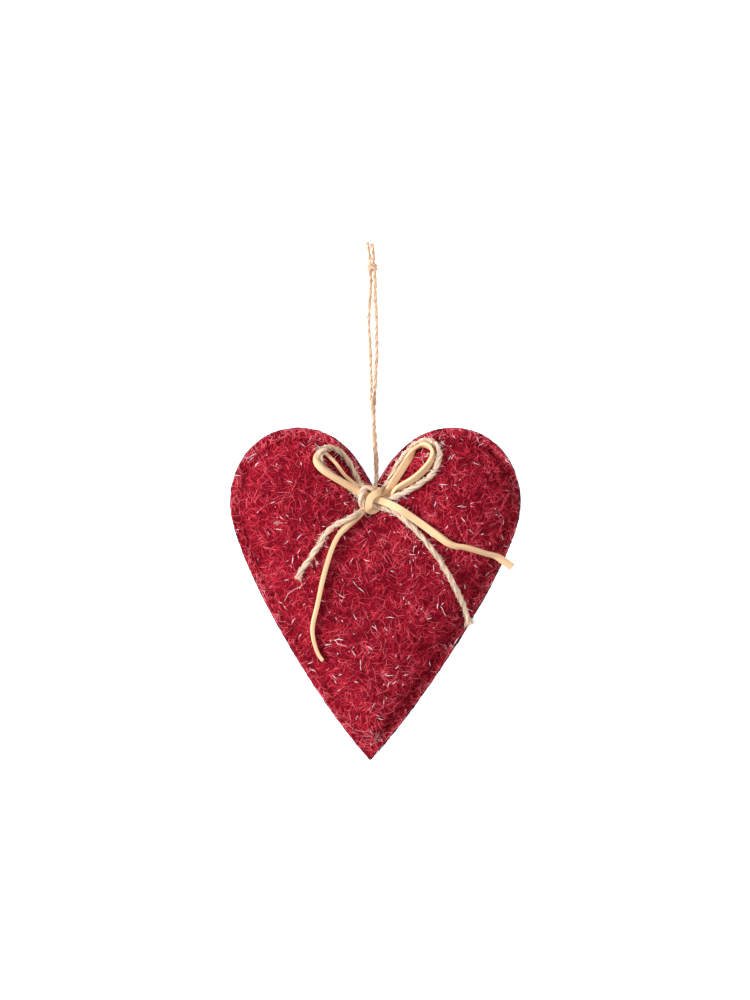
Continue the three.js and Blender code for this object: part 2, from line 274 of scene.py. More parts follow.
def halfOutline(side):  # from the notch over the lobe to the tip
    h = heart
    outward, upward, slanting = np.array([side, 0]), np.array([0, 1]), np.array([side, 1])
    notch = np.array(h["notch"])
    top = np.array([side * h["lobeTopX"], h["height"] / 2])
    widest = np.array([side * h["width"] / 2, h["widestY"]])
    tip = np.array([h["tipX"], -h["height"] / 2])
    return [
        (notch, notch + slanting * h["notchHandle"], top - outward * h["lobeInnerHandle"], top),
        (top, top + outward * h["lobeOuterHandle"], widest + upward * h["shoulderHandle"], widest),
        (widest, widest - upward * h["flankHandle"], tip + slanting * h["tipHandle"], tip),
    ]


def evenly(line, count):  # points evenly spaced along a line
    steps = np.linalg.norm(np.diff(line, axis=0), axis=1)
    along = np.concatenate([[0], np.cumsum(steps)])
    wanted = np.linspace(0, along[-1], count)
    return np.stack([np.interp(wanted, along, line[:, axis]) for axis in range(line.shape[1])], axis=1)


def outline(count):  # counterclockwise from the notch, without its end
    fine = np.linspace(0, 1, 200)
    left = np.concatenate([bezier(curve, fine) for curve in halfOutline(-1)])
    right = np.concatenate([bezier(curve, fine) for curve in halfOutline(1)])[::-1]
    half = count // 2
    return np.concatenate([evenly(left, half + 1)[:-1], evenly(right, half + 1)[:-1]])


fieldStep = 0.5
fewPoints = 2000
rim = outline(1600)
rimMiddles = (rim + np.roll(rim, -1, axis=0)) / 2
rimLengths = np.linalg.norm(rim - np.roll(rim, -1, axis=0), axis=1)


def inParts(points, work):  # few at a time, as each is held against the whole rim
    points = np.asarray(points, float)
    return np.concatenate([work(some) for some in np.array_split(points, max(1, len(points) // fewPoints))])


def distanceInside(points):  # close to a straight edge it is the true distance
    def work(some):
        squares = ((some[:, None] - rimMiddles[None]) ** 2).sum(2)
        return (2 / math.pi * (rimLengths / squares ** 2).sum(1)) ** (-1 / 3)

    return inParts(points, work)


def bulge(distance, reach):
    part = np.clip((distance - heart["flangeWidth"]) / reach, 0, 1)
    return (1 - (1 - part) ** 2) ** heart["bulgePower"]


def groove(distance):
    away = (distance - heart["flangeWidth"]) / heart["seamGrooveWidth"]
    return heart["seamGroove"] * np.exp(-away ** 2)


def frontHeight(points):
    points = np.asarray(points, float)
    distance = distanceInside(points)
    flange = frontLow.z + heart["feltThickness"]
    squares = ((points - heart["knotMiddle"]) ** 2).sum(1)
    pressed = heart["knotDimple"] * np.exp(-squares / heart["knotDimpleRadius"] ** 2)
    rise = heart["frontRise"] * bulge(distance, heart["frontReach"]) * (1 - pressed)
    return flange - groove(distance) + rise


def backHeight(points):
    distance = distanceInside(points)
    flange = backHigh.z - heart["feltThickness"]
    return (flange + groove(distance)) * (1 - bulge(distance, heart["backReach"]))


class Field:  # values on a square grid over the heart, read between its points
    low = np.array([-66.0, -75.0])
    size = np.array([132.0, 150.0])

    def __init__(self, step, draw):
        self.step = step
        self.counts = np.round(self.size / step).astype(int) + 1
        self.values = draw(self.points()).reshape(self.counts)

    def points(self):
        xs, ys = (self.low[axis] + np.arange(self.counts[axis]) * self.step for axis in range(2))
        return np.stack(np.meshgrid(xs, ys, indexing="ij"), axis=-1).reshape(-1, 2)

    def at(self, points):
        place = np.clip((points - self.low) / self.step, 0, self.counts - 1.001)
        i, j = np.moveaxis(place.astype(int), -1, 0)
        s, t = np.moveaxis(place % 1, -1, 0)
        v = self.values
        return (v[i, j] * (1 - s) * (1 - t) + v[i + 1, j] * s * (1 - t)
                + v[i, j + 1] * (1 - s) * t + v[i + 1, j + 1] * s * t)

    def slope(self, points):  # over a millimetre
        parts = [self.at(points + half) - self.at(points - half) for half in ([0.5, 0], [0, 0.5])]
        return np.stack(parts, axis=1)


def smoothNoise(step, seed):  # from about -1 to 1, with lumps of the step's size
    rng = np.random.default_rng(seed)
    return Field(step, lambda points: rng.uniform(-1, 1, len(points)))


def signedDistance(points):  # to the outline, more than nothing inside it
    def work(some):
        away = np.sqrt(((some[:, None] - rim[None]) ** 2).sum(2).min(1))
        x, y = some.T[:, :, None]
        a, b = rim[::4], np.roll(rim[::4], -1, axis=0)
        crosses = (a[:, 1] > y) != (b[:, 1] > y)
        rise = np.where(a[:, 1] == b[:, 1], 1, b[:, 1] - a[:, 1])
        left = x < (b[:, 0] - a[:, 0]) * (y - a[:, 1]) / rise + a[:, 0]
        return np.where((crosses & left).sum(1) % 2 == 1, away, -away)

    return inParts(points, work)


inside = Field(fieldStep, signedDistance)
print("heart's shape worked out")

# Routes of the cords: the same points as the solids have

def at(x, y, z, turn=0):  # a place, its facing, and a flat cord's turn away from it
    return np.array([x, y, z], float), np.array([0, 0, 1.0]), math.radians(turn)


def laid(x, y, lift, turn=0):  # lying on the felt, its middle at a lift above it
    steps = np.array([[x + 1, y], [x - 1, y], [x, y + 1], [x, y - 1], [x, y]], float)
    heights = frontHeight(steps)
    slope = np.array([heights[0] - heights[1], heights[2] - heights[3]]) / 2
    slope /= max(1, np.linalg.norm(slope))
    facing = np.array([-slope[0], -slope[1], 1])
    facing /= np.linalg.norm(facing)
    return np.array([x, y, heights[4] + lift / facing[2]]), facing, math.radians(turn)


def cordRoute(*steps):  # at or laid stands before the places that it holds for
    places = []
    for step in steps:
        if callable(step):
            lay = step
        else:
            places.append(lay(*step))
    return places


hangingFront = cordRoute(
    at, (-0.1, 40.3, 8), (-0.1, 41.1, 9.91), (0, 43, 10.7), (0.1, 44.6, 10.6), (0.2, 46.9, 9),
    (0.3, 49, 6.6), (0.3, 51.3, 4.2), (0.1, 54, 2.8), (-0.1, 57.7, 2.45), (-0.5, 61.9, 2.45),
    (-0.7, 66, 2.45), (-0.8, 70.2, 2.45), (-1, 74.3, 2.45), (-1.4, 78.5, 2.35), (-1.8, 82.6, 1.9),
    (-1.8, 86.8, 1.1), (-1.9, 90.9, 0.8), (-2, 95.5, 0.8), (-2.2, 100.9, 0.8), (-2.5, 106.7, 0.8),
    (-2.8, 112.9, 0.8), (-2.7, 116.7, 0.8), (-2.4, 120.8, 0.8), (-2.2, 125.4, 0.8), (-2, 130, 0.9),
    (-2.1, 133.1, 1.6), (-2.2, 136, 2.4), (-2.3, 139.5, 2.1), (-2.7, 142.8, 1.6), (-3.4, 146.4, 1.2),
)
hangingBack = cordRoute(
    at, (-0.1, 40.3, 8), (-0.1, 41.1, 6.09), (0, 43, 5.3), (0.1, 44.8, 4.8), (0.3, 47.3, 3.1),
    (0.5, 49.8, 1.5), (0.6, 52.7, 0.85), (0.5, 56.5, 0.8), (0.2, 60.6, 0.8), (-0.1, 64.8, 0.8),
    (-0.5, 68.9, 0.8), (-0.7, 73.1, 0.8), (-0.6, 77.2, 0.8), (-0.3, 82.6, 0.8), (0, 86.8, 0.8),
    (0.1, 90.9, 0.8), (0.3, 95.5, 0.8), (0.6, 100.5, 0.8), (0.5, 106.3, 0.8), (0.5, 111.7, 0.8),
    (0.4, 116.7, 0.8), (0.1, 120.8, 0.8), (-0.1, 125.4, 0.8), (-0.1, 130, 0.9), (-0.4, 133.1, 1.6),
    (-0.6, 136, 2.4), (-0.7, 139.5, 2.2), (-1, 142.8, 1.8), (-1.4, 145.9, 1.3),
)
twineRight = cordRoute(
    at, (-2.3, 42.6, 13.1), (0.6, 42.4, 13.1), (2.9, 43.4, 13.4),
    laid, (5.6, 47, 2.6), (7.7, 50.8, 1.8), (9.6, 54.4, 1.7), (12.1, 57.7, 1.6), (14.4, 60.4, 1.6),
    (17, 62.5, 1.6), (19.8, 63.7, 1.6), (22.4, 63.5, 1.6), (24.8, 61.9, 1.6), (26.2, 59.4, 1.6),
    (26.5, 56.8, 1.6), (25.6, 53.9, 1.5), (23.3, 49.7, 1.5), (19.2, 46.2, 1.5), (14.6, 43.5, 1.6),
    (9.8, 41.2, 1.8),
    at, (5.6, 39.6, 16.8), (1.9, 38.2, 16.5), (-1.9, 36.7, 15.6),
    laid, (-5.2, 34.7, 1.8), (-8.4, 32.7, 3.1), (-11.5, 31, 3), (-14.7, 29.6, 1.8), (-18.4, 27.2, 1.5),
    (-21.1, 24.3, 1.5), (-22.7, 21.1, 1.5), (-24.8, 18.4, 1.5), (-26.9, 15, 1.5), (-29.6, 11.5, 1.5),
    (-32, 6.7, 1.5),
)
twineLeft = cordRoute(
    at, (-0.6, 42.4, 13.1), (-3.1, 43, 13.2), (-5.6, 44.8, 13.6),
    laid, (-7.9, 48.8, 2.2), (-10.3, 53.6, 1.7), (-12.9, 57.4, 1.6), (-15.9, 59.8, 1.7), (-19, 60.8, 2.6),
    (-21.2, 60, 4.3), (-22.8, 58.3, 4.4), (-22.9, 55.8, 2.8), (-21.7, 52.9, 1.5), (-18.5, 49.8, 1.5),
    (-14.3, 46.9, 1.5), (-10.6, 44.2, 1.5),
    at, (-7.5, 41.3, 15.7), (-5, 38.9, 16.4), (-2.1, 37.4, 17.7), (1.5, 35.9, 17),
    laid, (5.1, 35.3, 1.7), (8.8, 33.6, 1.6), (13.5, 29.4, 1.5), (18.4, 24.6, 1.5), (22.3, 19.9, 1.5),
    (26.2, 14.5, 1.5), (29.8, 8.7, 1.5), (32.7, 3.1, 1.5), (35.5, -2.6, 1.8), (37.6, -8.3, 2.5),
    at, (38.9, -12.5, 13),
)
twineWrap = cordRoute(
    at, (-0.4, 43.3, 17.2), (-2, 44, 17.8), (-3.6, 44, 18.4), (-4.9, 43.2, 19.3), (-5.7, 41.6, 20),
    (-6, 39.8, 20), (-5.8, 38, 19.3), (-5.2, 36.4, 17.8), (-4.2, 35.7, 16.4),
)
laceLeft = cordRoute(
    at, (-1.7, 43.5, 15.2, 0), (-4.6, 43.5, 15.4, 155), (-7.6, 44.4, 15.3, 120),
    laid, (-10.6, 46.9, 2.3, 72), (-13.1, 49.7, 2.1, 50), (-16.6, 54.4, 2, 50), (-19.4, 57.1, 2, 56),
    (-21.8, 58.8, 2, 68), (-23.7, 58.6, 2.1, 78), (-24.7, 56.9, 2.4, 85), (-24.4, 54.6, 3.3, 80),
    (-22.6, 52.3, 4.1, 75), (-20.3, 50.3, 4.1, 79), (-16.8, 48.1, 4, 85), (-12.7, 45.8, 3.9, 78),
    at, (-7.1, 42.6, 17.8, 45), (-4.2, 41, 18.1, 15), (-1.2, 39.6, 18), (1.5, 38.9, 18.6),
    (4.4, 37.9, 18.9),
    laid, (7.5, 36.5, 3.5), (10.2, 35, 3.6), (15.2, 31.7, 1.8), (20.1, 28.3, 1.3, 5),
    (25.6, 24.4, 1.7, 30), (30, 21.2, 2, 54), (33, 20, 2, 58), (36.3, 19.6, 2, 63), (41.2, 18.3, 2, 64),
    (45.9, 16.8, 2.1, 64),
    at, (49.8, 15.8, 14.9, 60), (53.3, 13.6, 13.5, 35), (56.5, 11.3, 12.4, 25),
)
laceRight = cordRoute(
    at, (-2.7, 43.3, 15.2), (0.6, 42.9, 15.7), (1.8, 42.5, 17.8), (0.8, 41.9, 19.5), (-0.9, 41.1, 20.1),
    (-2.2, 39.6, 20.3), (-2.7, 37.5, 20.2), (-2.7, 35.9, 19.5), (-2.4, 34.8, 18.2), (-1.2, 34.7, 16.7),
    (0.9, 35.9, 15.8), (2.7, 37.8, 15.1), (4.4, 39.6, 14.9, 150), (6.4, 41.7, 15.3, 120),
    laid, (9.7, 44.1, 2.1, 85), (16.8, 48.5, 2, 66), (21.9, 53.7, 2, 72), (23.4, 56.4, 2, 80),
    (23.7, 58.6, 2, 85), (22.9, 60.4, 2.2, 85), (21.3, 61.5, 2.3, 85), (19, 61.6, 2.1, 100),
    (16.7, 60.7, 2, 112), (13.2, 55.4, 2.1, 116), (8.3, 47.7, 2.1, 114), (6.4, 44.6, 2.4, 110),
    at, (4.6, 42.2, 14.6, 108), (2.3, 40.3, 14.1, 120), (-0.2, 38.8, 13.7, 150), (-2.3, 37.6, 13.9, 180),
    (-4.2, 35.7, 15.4, 180),
    laid, (-6.2, 33.6, 1.6, 200), (-11.8, 28.2, 2, 235), (-15.1, 24.6, 2, 255), (-17.5, 20, 2, 255),
    (-21.1, 8.6, 2, 253), (-23.8, -3.7, 2, 248), (-26, -15, 2, 236), (-23.8, -24.2, 2, 230),
    (-21.8, -27.2, 2, 230),
)


def unit(vectors):
    return vectors / np.maximum(np.linalg.norm(vectors, axis=-1, keepdims=True), 1e-12)


class Path:  # a smooth line through a route, with a frame along it
    steepest = 0.85

    def __init__(self, route, spacing):
        corners = np.array([place for place, _, _ in route])
        ends = 2 * corners[[0, -1]] - corners[[1, -2]]
        self.corners = np.concatenate([ends[:1], corners, ends[1:]])
        count = len(route) - 1
        widths = self.widthsAt(route)
        parts = np.linspace(0, count, 40 * count + 1)
        steps = np.linalg.norm(np.diff(self.points(parts), axis=0), axis=1)
        along = np.concatenate([[0], np.cumsum(steps)])
        self.length = along[-1]
        self.along = np.linspace(0, self.length, max(8, round(self.length / spacing)) + 1)
        parts = np.interp(self.along, along, parts)
        self.places = self.points(parts)
        self.forward = unit(self.points(parts + 1e-3) - self.points(parts - 1e-3))
        before = np.minimum(parts.astype(int), count - 1)
        share = (parts - before)[:, None]
        wide = widths[before] * (1 - share) + widths[before + 1] * share
        self.wide = unit(wide - self.forward * (wide * self.forward).sum(1, keepdims=True))
        self.high = np.cross(self.forward, self.wide)

    def points(self, parts):  # centripetal, so it makes no loops between close points
        parts = np.asarray(parts, float)
        last = len(self.corners) - 4
        index = np.clip(np.floor(parts).astype(int), 0, last)
        t = (parts - index)[:, None]
        a, b, c, d = (self.corners[index + offset] for offset in range(4))
        before, here, after = (np.sqrt(np.linalg.norm(q - p, axis=1, keepdims=True))
                               for p, q in ((a, b), (b, c), (c, d)))
        leave = here * ((b - a) / before - (c - a) / (before + here) + (c - b) / here)
        arrive = here * ((c - b) / here - (d - b) / (here + after) + (d - c) / after)
        return (b + leave * t + (3 * (c - b) - 2 * leave - arrive) * t ** 2
                + (2 * (b - c) + leave + arrive) * t ** 3)

    def beside(self, index, ahead, across, above):
        return (self.places[index] + self.forward[index] * ahead[..., None]
                + self.wide[index] * across[..., None] + self.high[index] * above[..., None])

    def widthsAt(self, route):  # held on where the cord runs steeply
        last = np.array([1.0, 0, 0])
        found = []
        for index, (_, facing, turn) in enumerate(route):
            near = min(max(index, 1e-3), len(route) - 1 - 1e-3)
            forward = unit(self.points([near + 1e-3])[0] - self.points([near - 1e-3])[0])
            if abs(forward[2]) < self.steepest:
                level = unit(np.cross(facing, forward))
                width = level * math.cos(turn) + np.cross(forward, level) * math.sin(turn)
                last = -width if width @ last < 0 else width
            found.append(last)
        return np.array(found)


# Meshes from a grid that is wrapped round and closed

def wrapGrid(bm, around, along, place, length=1):  # place gives the grid's points in millimetres
    uvLayer = bm.loops.layers.uv.verify()
    made = bmesh.ops.create_grid(bm, x_segments=around, y_segments=along, size=0.5, calc_uvs=True)
    verts = made["verts"]
    flat = np.array([vert.co.xy for vert in verts]) + 0.5
    u = np.round(flat[:, 0] * around).astype(int)
    v = np.round(flat[:, 1] * along).astype(int)
    for vert, point in zip(verts, place(u, v) * mm):
        vert.co = point
        for loop in vert.link_loops:
            x, y = loop[uvLayer].uv
            loop[uvLayer].uv = (x, y * length)
    bmesh.ops.remove_doubles(bm, verts=verts, dist=1e-7)
    thin = [face for face in bm.faces if face.calc_area() < 1e-15]
    bmesh.ops.delete(bm, geom=thin, context="FACES")
    bmesh.ops.recalc_face_normals(bm, faces=bm.faces)


print("routes ready")

# Felt panels

panel = {
    "rays": 256,
    "thinning": ((0.36, 2), (0.64, 4), (0.8, 8), (0.92, 16)),  # rays meet in pairs towards the middle
    "rayBend": 12,
    "rayCentre": (-0.5, 8),
    "normalSpread": 5,
    "sink": 0.35,  # the fibres fill the rest up to the solid's face
    "inset": 0.1,
    "frontInset": 0.5,  # the back layer shows past the front one's edge
    "insetLean": (0.55, -0.5, 0.45),  # and shows most at the lower right
    "lumps": ((14, 0.5), (6, 0.35), (3, 0.25)),
    "lumpHeight": 0.35,
    "lumpReach": 6,
    "valley": 0.45,  # the stitches draw the fibres in beside the flange
    "valleyPlace": 4.7,
    "valleyWidth": 1.4,
    "topParts": [0, 0.012, 0.03, 0.05, 0.07, 0.095, 0.12, 0.14, 0.16, 0.18, 0.2, 0.225, 0.255, 0.29, 0.33,
                 *np.arange(0.37, 0.94, 0.04), 0.965, 1],
    "flatParts": [1, 0.6, 0.3, 0.1, 0.012, 0],
}


def rimShare(inward):  # how far the front layer's edge is drawn in, by its side
    even, byX, byY = panel["insetLean"]
    return np.clip(even + byX * inward[:, 0] + byY * inward[:, 1], 0.1, 1)


def valley(points):
    return np.exp(-((inside.at(points) - panel["valleyPlace"]) / panel["valleyWidth"]) ** 2)


def panelRays(drawnIn):
    loop = outline(panel["rays"])
    along = unit(np.roll(loop, -1, axis=0) - np.roll(loop, 1, axis=0))
    normals = np.stack([-along[:, 1], along[:, 0]], axis=1)
    spread = range(-panel["normalSpread"], panel["normalSpread"] + 1)
    inward = unit(sum(np.roll(normals, offset, axis=0) for offset in spread))
    start = loop + inward * (panel["inset"] + drawnIn * rimShare(inward))[:, None]
    return start, start + inward * panel["rayBend"], np.array(panel["rayCentre"], float)


def feltPanel(name, heightAt, flatHeight, facing, seed, drawnIn):
    start, bend, middle = panelRays(drawnIn)
    flats = panel["flatParts"]
    parts = np.array(flats + [0] + panel["topParts"])
    onTop = np.clip((np.arange(len(parts)) - len(flats) + 1) / 2, 0, 1)  # half on the cut edge
    lumps = [(smoothNoise(size, seed + index), share) for index, (size, share) in enumerate(panel["lumps"])]

    def place(u, v):
        for reach, step in panel["thinning"]:
            u = np.where(parts[v] > reach, u - u % step, u)
        u = u % len(start)
        t = parts[v][:, None]
        flat = (1 - t) ** 2 * start[u] + 2 * (1 - t) * t * bend[u] + t ** 2 * middle
        depth = np.clip(inside.at(flat) / panel["lumpReach"], 0, 1)
        lump = sum(field.at(flat) * share for field, share in lumps)
        top = heightAt(flat) - facing * (panel["sink"] + panel["valley"] * valley(flat))
        top = top + panel["lumpHeight"] * lump * depth
        return np.column_stack([flat, flatHeight + (top - flatHeight) * onTop[v]])

    bm = bmesh.new()
    wrapGrid(bm, panel["rays"], len(parts) - 1, place)
    return finished(name, bm, felt)


def dress(piece, slot, node=None):
    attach(piece, "root")
    if node:
        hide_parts(node)


felt = feltFinish()
frontFelt = feltPanel("felt_front", frontHeight, frontLow.z, 1, 11, panel["frontInset"])
backFelt = feltPanel("felt_back", backHeight, backHigh.z, -1, 31, 0)
for piece, node in ((frontFelt, "heart_front"), (backFelt, "heart_back")):
    smooth = piece.modifiers.new("smooth", "SUBSURF")
    smooth.levels = 1
    smooth.render_levels = 1
    dress(piece, "felt", node)
print("felt panels made")

# Cords

laceLook = {"grain": (30, 4, 1), "patches": (2, 0.25, 1), "share": 0.4, "roughness": 0.62, "gloss": 0.3,
            "relief": 0.04}
twineLook = {"grain": (9, 0.5, 1), "patches": (1.5, 0.22, 1), "share": 0.7, "roughness": 0.85, "gloss": 0.25,
             "relief": 0.4}
laceKind = {
    "node": "bow_lace",
    "slot": "lace",
    "width": 3,
    "end": "bare",
    "low": 0.85,  # how far the felt's fibres are held below its middle
    "finish": cordFinish("lace", laceLook, (0.3, (0.72, 0.43, 0.22)), (0.7, (0.86, 0.61, 0.37))),
    "thickness": 1.4,
    "round": 0.14,
    "sharpest": 30,
    "step": 0.55,
}
thinKind = {
    "node": "hanging_twine",
    "slot": "thin_twine",
    "width": 1.5,
    "end": "knot",
    "low": 0.8,
    "finish": cordFinish("thin_twine", twineLook, (0.34, (0.46, 0.26, 0.15)), (0.6, (0.88, 0.64, 0.46))),
    "pitch": 7,
    "fuzzShare": 0.5,
    "fuzz": fibreFinish("thin_twine_fibre", [(0, (0.34, 0.19, 0.11)), (0.5, (0.8, 0.57, 0.4)),
                                             (1, (0.95, 0.78, 0.62))], 0.7, 0.3),
}
bowKind = {
    "node": "bow_twine",
    "slot": "bow_twine",
    "width": 2.3,
    "end": "bare",
    "low": 1.2,
    "finish": cordFinish("bow_twine", twineLook, (0.34, (0.54, 0.34, 0.22)), (0.6, (0.93, 0.72, 0.55))),
    "pitch": 11.2,
    "fuzzShare": 1,
    "fuzz": fibreFinish("bow_twine_fibre", [(0, (0.34, 0.2, 0.12)), (0.5, (0.84, 0.65, 0.5)),
                                            (1, (1, 0.9, 0.82))], 0.7, 0.3),
}
wrapKind = {**bowKind, "drawn": 2.9}  # pulled flat over the knot
twine = {
    "step": 0.35,
    "sides": 10,
    "plyOffset": 0.22,  # shares of the twine's diameter
    "plyRadius": 0.27,
    "wobble": (0.9, 1.1),
    "wobbleStep": 1.5,
    "grain": (0.97, 1.03),
}
overhand = {"middle": (-1.4, 136, 2.45), "wide": 1.75, "high": 1.35, "steps": 22, "start": -150, "turn": 30,
            "rise": 0.1}


def laceSection():  # flat, with round corners and points between them
    radius = laceKind["round"]
    half = np.array([laceKind["width"], laceKind["thickness"]]) / 2 - radius
    corners = np.array([(1, 1), (-1, 1), (-1, -1), (1, -1)]) * half
    section = []
    for index, here in enumerate(corners):
        ahead = corners[(index + 1) % 4]
        shares = (0, 0, 0, 0.5) if index % 2 else (0, 0, 0, 0.25, 0.5, 0.75)
        for quarter, share in zip((0, 0.5, 1, 1, 1, 1), shares):
            angle = (index + quarter) * math.pi / 2
            out = np.array([math.cos(angle), math.sin(angle)])
            section.append(here + (ahead - here) * share + radius * out)
    return np.array(section)


def sweep(bm, path, section, swell=1):  # the section along the path, its ends closed flat
    last = len(path.places) - 1
    stations = np.concatenate([[0], np.arange(last + 1), [last]])
    sizes = (swell * np.ones(last + 1))[stations]
    sizes[[0, -1]] = 0

    def place(u, v):
        s = stations[v]
        corner = section[u % len(section)] * sizes[v][:, None]
        return path.places[s] + path.wide[s] * corner[:, :1] + path.high[s] * corner[:, 1:]

    wrapGrid(bm, len(section), len(stations) - 1, place, path.length)


def laceCord(name, route):
    path = Path(route, laceKind["step"])
    bm = bmesh.new()
    sweep(bm, path, laceSection())
    piece = finished(name, bm, laceKind["finish"])
    piece.data.set_sharp_from_angle(angle=math.radians(laceKind["sharpest"]))
    return piece, path, laceKind


def plyPath(path, offset, pitch, phase):  # one ply of a twine winds round its middle
    angle = math.tau * path.along / pitch + phase
    side = path.wide * np.cos(angle)[:, None] + path.high * np.sin(angle)[:, None]
    places = path.places + side * offset
    forward = unit(np.gradient(places, axis=0))
    wide = unit(side - forward * (side * forward).sum(1, keepdims=True))
    return SimpleNamespace(places=places, wide=wide, high=np.cross(forward, wide), length=path.length)


def twineCord(name, route, kind, seed):
    path = Path(route, twine["step"])
    rng = np.random.default_rng(seed)
    bm = bmesh.new()
    diameter = kind.get("drawn", kind["width"])
    angles = np.arange(twine["sides"]) / twine["sides"] * math.tau
    section = np.column_stack([np.cos(angles), np.sin(angles)]) * diameter * twine["plyRadius"]
    knots = np.arange(0, path.length + 2 * twine["wobbleStep"], twine["wobbleStep"])
    wobble = np.interp(path.along, knots, rng.uniform(*twine["wobble"], len(knots)))
    for phase in (0, math.pi):
        ply = plyPath(path, diameter * twine["plyOffset"], kind["pitch"], phase)
        sweep(bm, ply, section, wobble * rng.uniform(*twine["grain"], len(path.along)))
    return finished(name, bm, kind["finish"]), path, kind


def knotRoute():  # the turns of the overhand knot near the hanging loop's ends
    x, y, z = overhand["middle"]
    turns = []
    for step in range(overhand["steps"]):
        angle = math.radians(overhand["start"] + step * overhand["turn"])
        rise = (step - (overhand["steps"] - 1) / 2) * overhand["rise"]
        turns.append(at(x + overhand["wide"] * math.cos(angle), y + rise,
                        z + overhand["high"] * math.sin(angle)))
    return turns


cords = {"lace_left": laceCord("lace_left", laceLeft), "lace_right": laceCord("lace_right", laceRight)}
for seed, (name, route, kind) in enumerate((
        ("twine_right", twineRight, bowKind), ("twine_left", twineLeft, bowKind),
        ("twine_wrap", twineWrap, wrapKind), ("hanging_front", hangingFront, thinKind),
        ("hanging_back", hangingBack, thinKind), ("hanging_knot", knotRoute(), thinKind)), 3):
    cords[name] = twineCord(name, route, kind, seed)
for piece, _, kind in cords.values():
    dress(piece, kind["slot"], kind["node"])
wrap, knot = cords["twine_wrap"][0], cords["hanging_knot"][0]
for name, others in (("lace_left", ()), ("lace_right", ()), ("twine_right", ()), ("twine_left", (wrap,)),
                     ("hanging_front", (knot,)), ("hanging_back", (knot,))):
    piece, path, kind = cords[name]
    print(name, round(path.length, 1), "mm long")
    tuple(path.places[0] * mm)
    kind["width"] * mm
    [tuple(place) for place in path.places * mm]
    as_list(others)

# Felt fibres

# the shade ranges paint the lower layers darker and the top one lighter, as painted shade beneath the upper
# fibres
layers = {
    "under": {"count": 6200, "length": (3, 7), "lift": (-0.1, 0.15), "arch": 0.15, "radius": (0.12, 0.17),
              "curl": 0.05, "turn": 1.6, "shade": (0, 0.4), "outside": 0.1, "gaps": 0.2},
    "middle": {"count": 6300, "length": (2.5, 7), "lift": (0.05, 0.6), "arch": 0.5, "radius": (0.095, 0.14),
               "curl": 0.05, "turn": 1.5, "shade": (0.1, 0.9), "outside": 0.4, "gaps": 0.5},
    "top": {"count": 4900, "length": (2, 6.5), "lift": (0.35, 0.9), "arch": 0.6, "radius": (0.065, 0.105),
            "curl": 0.06, "turn": 1.4, "shade": (0.3, 0.95), "outside": 0.8, "gaps": 0.5},
    "back": {"count": 3600, "length": (5, 12), "lift": (0.05, 0.4), "arch": 0.2, "radius": (0.14, 0.19),
             "curl": 0.15, "turn": 1.5, "shade": (0.1, 0.8), "outside": 0.4, "gaps": 0.4},
    "edge": {"count": 2200, "length": (2, 6), "radius": (0.09, 0.13), "shade": (0, 0.8)},
}
felting = {
    "swirlSize": 7,
    "shadeSize": 6,
    "shadeTone": 0.1,
    "gapSize": 1.1,
    # fibres are painted darker where they are sparse and lighter where dense: painted shade in the pockets
    "gapPaintedShade": 0.2,
    "flangePaintedLight": 0.24,  # painted light on the felt's flat edge, and painted shade in the seam beside it
    "seamPaintedShade": -0.14,
    "curlier": (0.1, 3),  # the share of fibres, and how many times they curl
    "standing": (0.25, 1.2),  # the share that lifts off at its end, and how many arches high
    "steepest": 1.6,
    "footing": 0.1,
}


def surfaceField(piece, facing):  # the felt's height, carried on past its edge
    graph = bpy.context.evaluated_depsgraph_get()
    tree = BVHTree.FromObject(piece, graph)
    down = Vector((0, 0, -facing))
    above = 40 * facing

    def draw(points):
        hits = (tree.ray_cast(Vector((x, y, above)) * mm, down)[0] for x, y in points)
        return np.array([hit.z / mm if hit else np.nan for hit in hits])

    field = Field(fieldStep, draw)
    values = field.values
    while np.isnan(values).any():
        wide = np.pad(values, 1, constant_values=np.nan)
        around = np.stack([wide[1 + i:wide.shape[0] - 1 + i, 1 + j:wide.shape[1] - 1 + j]
                           for i in (-1, 0, 1) for j in (-1, 0, 1)])
        known = ~np.isnan(around)
        mean = np.where(known, around, 0).sum(0) / np.maximum(known.sum(0), 1)
        values = np.where(np.isnan(values) & known.any(0), mean, values)
    field.values = values
    return field


def coverField(names):  # how low the cords leave the felt's fibres
    field = Field(fieldStep, lambda points: np.full(len(points), 99.0))
    for name in names:
        _, path, kind = cords[name]
        half = kind["width"] / 2
        reach = int(half / field.step) + 1
        for i in range(-reach, reach + 1):
            for j in range(-reach, reach + 1):
                if math.hypot(i, j) * field.step < half + 0.35:
                    cell = np.round((path.places[:, :2] - field.low) / field.step).astype(int) + (i, j)
                    inGrid = ((cell >= 0) & (cell < field.counts)).all(1)
                    np.minimum.at(field.values, tuple(cell[inGrid].T), path.places[inGrid, 2] - kind["low"])
    return field


def fibreTemplate(stations):  # along Z, one across, pointed at both ends
    taper = np.minimum(1, np.minimum(np.arange(stations), np.arange(stations)[::-1]) * 0.75)
    bm = bmesh.new()
    wrapGrid(bm, 3, stations - 1, lambda u, v: np.column_stack([
        np.cos(u * math.tau / 3) * taper[v], np.sin(u * math.tau / 3) * taper[v], v / (stations - 1)]))
    return finished("fibre", bm)


